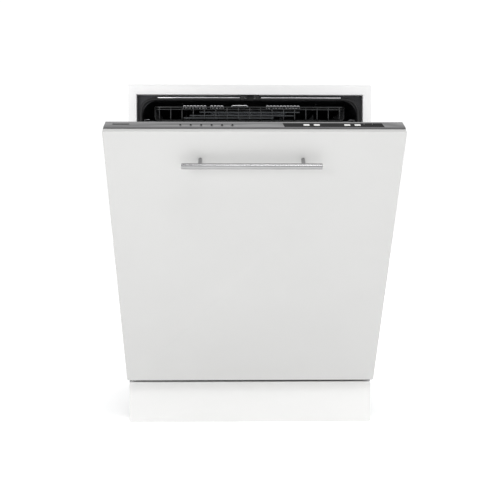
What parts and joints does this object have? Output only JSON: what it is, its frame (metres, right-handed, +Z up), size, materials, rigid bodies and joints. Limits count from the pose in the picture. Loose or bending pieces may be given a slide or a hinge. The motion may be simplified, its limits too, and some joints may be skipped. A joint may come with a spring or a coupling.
{
  "type": "built in dishwasher",
  "caption": "Fully integrated dishwasher with a white kitchen panel and bar handle, its door ajar under a white front frame, with sliding baskets and spray arms inside.",
  "frame": {"origin": "on the floor, in the middle of the front frame's plane; the plinth's foot lies in the floor plane there", "axes": "+X to the right seen from the front, +Y from the front to the rear, +Z up"},
  "size_m": [0.598, 1.0511, 0.829],
  "materials": {
    "white_steel": "satin white paint",
    "white_panel": "satin white lacquered board",
    "zinc_steel": "zinc-coated steel sheet",
    "tub_steel": "bright stainless steel",
    "strip_steel": "brushed stainless steel",
    "handle_steel": "satin stainless steel",
    "hinge_steel": "zinc-plated steel",
    "wire_grey": "nylon-coated wire",
    "black_plastic": "black plastic",
    "dark_plastic": "dark grey plastic",
    "grey_plastic": "grey plastic",
    "white_plastic": "white plastic",
    "window_black": "gloss black window",
    "key_white": "gloss white key",
    "felt": "black insulating felt",
    "seal_rubber": "black rubber",
    "cap_blue": "blue plastic"
  },
  "bodies": {
    "cabinet": {"front_frame": "white_steel", "side_panels": "zinc_steel", "rear_panel": "zinc_steel", "top_crossbars": "zinc_steel", "insulation_blanket": "felt", "base_tray": "black_plastic", "plinth": "white_steel", "tub": "tub_steel", "tub_gasket": "seal_rubber", "latch_striker": "black_plastic", "sump": "dark_plastic", "flat_filter": "tub_steel", "circulation_pump": "dark_plastic", "drain_pump": "dark_plastic", "water_softener": "white_plastic", "inlet_valve": "white_plastic", "air_break_unit": "white_plastic", "terminal_box": "dark_plastic", "spray_feed_pipe": "white_plastic", "hinge_brackets": "hinge_steel", "door_springs": "hinge_steel", "rail_channels": "zinc_steel"},
    "door": {"front_panel": "white_panel", "handle_bar": "handle_steel", "handle_posts": "handle_steel", "outer_door_plate": "zinc_steel", "inner_door_liner": "tub_steel", "control_fascia": "strip_steel", "display_module": "window_black", "indicator_lights": "dark_plastic", "detergent_dispenser": "grey_plastic", "door_bottom_seal": "seal_rubber", "hinge_arms": "hinge_steel"},
    "lower_basket": {"lower_basket": "wire_grey", "wheel_brackets": "grey_plastic"},
    "foot_front_left": {"foot_front_left": "dark_plastic"},
    "foot_front_right": {"foot_front_right": "dark_plastic"},
    "foot_rear": {"foot_rear": "dark_plastic"},
    "filter_cylinder": {"filter_cylinder": "grey_plastic"},
    "salt_cap": {"salt_cap": "white_plastic"},
    "spring_hooks": {"spring_hooks": "hinge_steel"},
    "slide_rails": {"slide_rails": "zinc_steel"},
    "lower_spray_arm": {"lower_spray_arm": "grey_plastic"},
    "ceiling_spray_arm": {"ceiling_spray_arm": "grey_plastic"},
    "upper_basket": {"upper_basket": "wire_grey"},
    "upper_spray_arm": {"upper_spray_arm": "grey_plastic"},
    "cup_shelf": {"cup_shelf": "wire_grey"},
    "cutlery_tray": {"cutlery_tray": "wire_grey", "tray_sides": "wire_grey"},
    "wheels_front": {"wheels_front": "grey_plastic"},
    "wheels_rear": {"wheels_rear": "grey_plastic"},
    "folding_tines": {"folding_tines": "wire_grey"},
    "cutlery_basket": {"cutlery_basket": "grey_plastic"},
    "key_1": {"key_1": "key_white"},
    "key_2": {"key_2": "key_white"},
    "key_3": {"key_3": "key_white"},
    "key_4": {"key_4": "key_white"},
    "latch_hook": {"latch_hook": "hinge_steel"},
    "detergent_lid": {"detergent_lid": "grey_plastic"},
    "rinse_aid_cap": {"rinse_aid_cap": "cap_blue"}
  },
  "joints": [
    {"name": "door_hinge", "type": "hinge", "parent": "cabinet", "child": "door", "pos_m": [0, -0.04, 0.112], "axis": [1, 0, 0], "range_deg": [-36.5, 53.5]},
    {"name": "spring_pull", "type": "slide", "parent": "cabinet", "child": "spring_hooks", "axis": [0, 0, -1], "range_m": [-0.013, 0.019], "deforming": ["door_springs"]},
    {"name": "cutlery_tray_slide", "type": "slide", "parent": "cabinet", "child": "cutlery_tray", "axis": [0, -1, 0], "range_m": [0, 0.36]},
    {"name": "upper_basket_slide", "type": "slide", "parent": "cabinet", "child": "upper_basket", "axis": [0, -1, 0], "range_m": [0, 0.25]},
    {"name": "rail_slide", "type": "slide", "parent": "cabinet", "child": "slide_rails", "axis": [0, -1, 0], "range_m": [0, 0.125]},
    {"name": "lower_basket_slide", "type": "slide", "parent": "cabinet", "child": "lower_basket", "axis": [0, -1, 0], "range_m": [0, 0.055]},
    {"name": "lower_arm_spin", "type": "hinge", "parent": "cabinet", "child": "lower_spray_arm", "pos_m": [0, 0.272, 0.19], "axis": [0, 0, 1], "continuous": true},
    {"name": "ceiling_arm_spin", "type": "hinge", "parent": "cabinet", "child": "ceiling_spray_arm", "pos_m": [0, 0.272, 0.787], "axis": [0, 0, 1], "continuous": true},
    {"name": "upper_arm_spin", "type": "hinge", "parent": "upper_basket", "child": "upper_spray_arm", "pos_m": [0, 0.272, 0.489], "axis": [0, 0, 1], "continuous": true},
    {"name": "cup_shelf_fold", "type": "hinge", "parent": "upper_basket", "child": "cup_shelf", "pos_m": [-0.222, 0.26, 0.62], "axis": [0, -1, 0], "range_deg": [0, 85]},
    {"name": "front_wheels_roll", "type": "hinge", "parent": "lower_basket", "child": "wheels_front", "pos_m": [0, 0.099, 0.186], "axis": [1, 0, 0], "continuous": true},
    {"name": "rear_wheels_roll", "type": "hinge", "parent": "lower_basket", "child": "wheels_rear", "pos_m": [0, 0.441, 0.186], "axis": [1, 0, 0], "continuous": true},
    {"name": "tine_fold", "type": "hinge", "parent": "lower_basket", "child": "folding_tines", "pos_m": [0, 0.33, 0.216], "axis": [-1, 0, 0], "range_deg": [0, 80]},
    {"name": "cutlery_basket_lift", "type": "slide", "parent": "lower_basket", "child": "cutlery_basket", "axis": [0, 0, 1], "range_m": [0, 0.14]},
    {"name": "filter_turn", "type": "hinge", "parent": "cabinet", "child": "filter_cylinder", "pos_m": [0, 0.165, 0.14], "axis": [0, 0, 1], "range_deg": [0, 90]},
    {"name": "salt_cap_turn", "type": "hinge", "parent": "cabinet", "child": "salt_cap", "pos_m": [-0.18, 0.38, 0.165], "axis": [0, 0, 1], "continuous": true},
    {"name": "foot_front_left_turn", "type": "hinge", "parent": "cabinet", "child": "foot_front_left", "pos_m": [-0.255, 0.06, 0.04], "axis": [0, 0, 1], "continuous": true},
    {"name": "foot_front_right_turn", "type": "hinge", "parent": "cabinet", "child": "foot_front_right", "pos_m": [0.255, 0.06, 0.04], "axis": [0, 0, 1], "continuous": true},
    {"name": "foot_rear_turn", "type": "hinge", "parent": "cabinet", "child": "foot_rear", "pos_m": [0, 0.5, 0.04], "axis": [0, 0, 1], "continuous": true},
    {"name": "key_1_press", "type": "slide", "parent": "door", "child": "key_1", "axis": [0, 0.3709, -0.9287], "range_m": [0, 0.0008], "stiffness_N_per_m": 500},
    {"name": "key_2_press", "type": "slide", "parent": "door", "child": "key_2", "axis": [0, 0.3709, -0.9287], "range_m": [0, 0.0008], "stiffness_N_per_m": 500},
    {"name": "key_3_press", "type": "slide", "parent": "door", "child": "key_3", "axis": [0, 0.3709, -0.9287], "range_m": [0, 0.0008], "stiffness_N_per_m": 500},
    {"name": "key_4_press", "type": "slide", "parent": "door", "child": "key_4", "axis": [0, 0.3709, -0.9287], "range_m": [0, 0.0008], "stiffness_N_per_m": 500},
    {"name": "latch_turn", "type": "hinge", "parent": "door", "child": "latch_hook", "pos_m": [0, -0.42715, 0.67891], "axis": [-1, 0, 0], "range_deg": [0, 6], "stiffness_Nm_per_rad": 0.6},
    {"name": "detergent_lid_open", "type": "hinge", "parent": "door", "child": "detergent_lid", "pos_m": [0, -0.1896, 0.41555], "axis": [-1, 0, 0], "range_deg": [0, 100]},
    {"name": "rinse_aid_cap_turn", "type": "hinge", "parent": "door", "child": "rinse_aid_cap", "pos_m": [0.05, -0.22578, 0.45721], "axis": [0, 0.8039, 0.5948], "range_deg": [0, 90]}
  ],
  "couplings": [
    {"joint": "rail_slide", "follows": "upper_basket_slide", "ratio": 0.5},
    {"joint": "spring_pull", "follows": "door_hinge", "m_per_rad": 0.02}
  ]
}
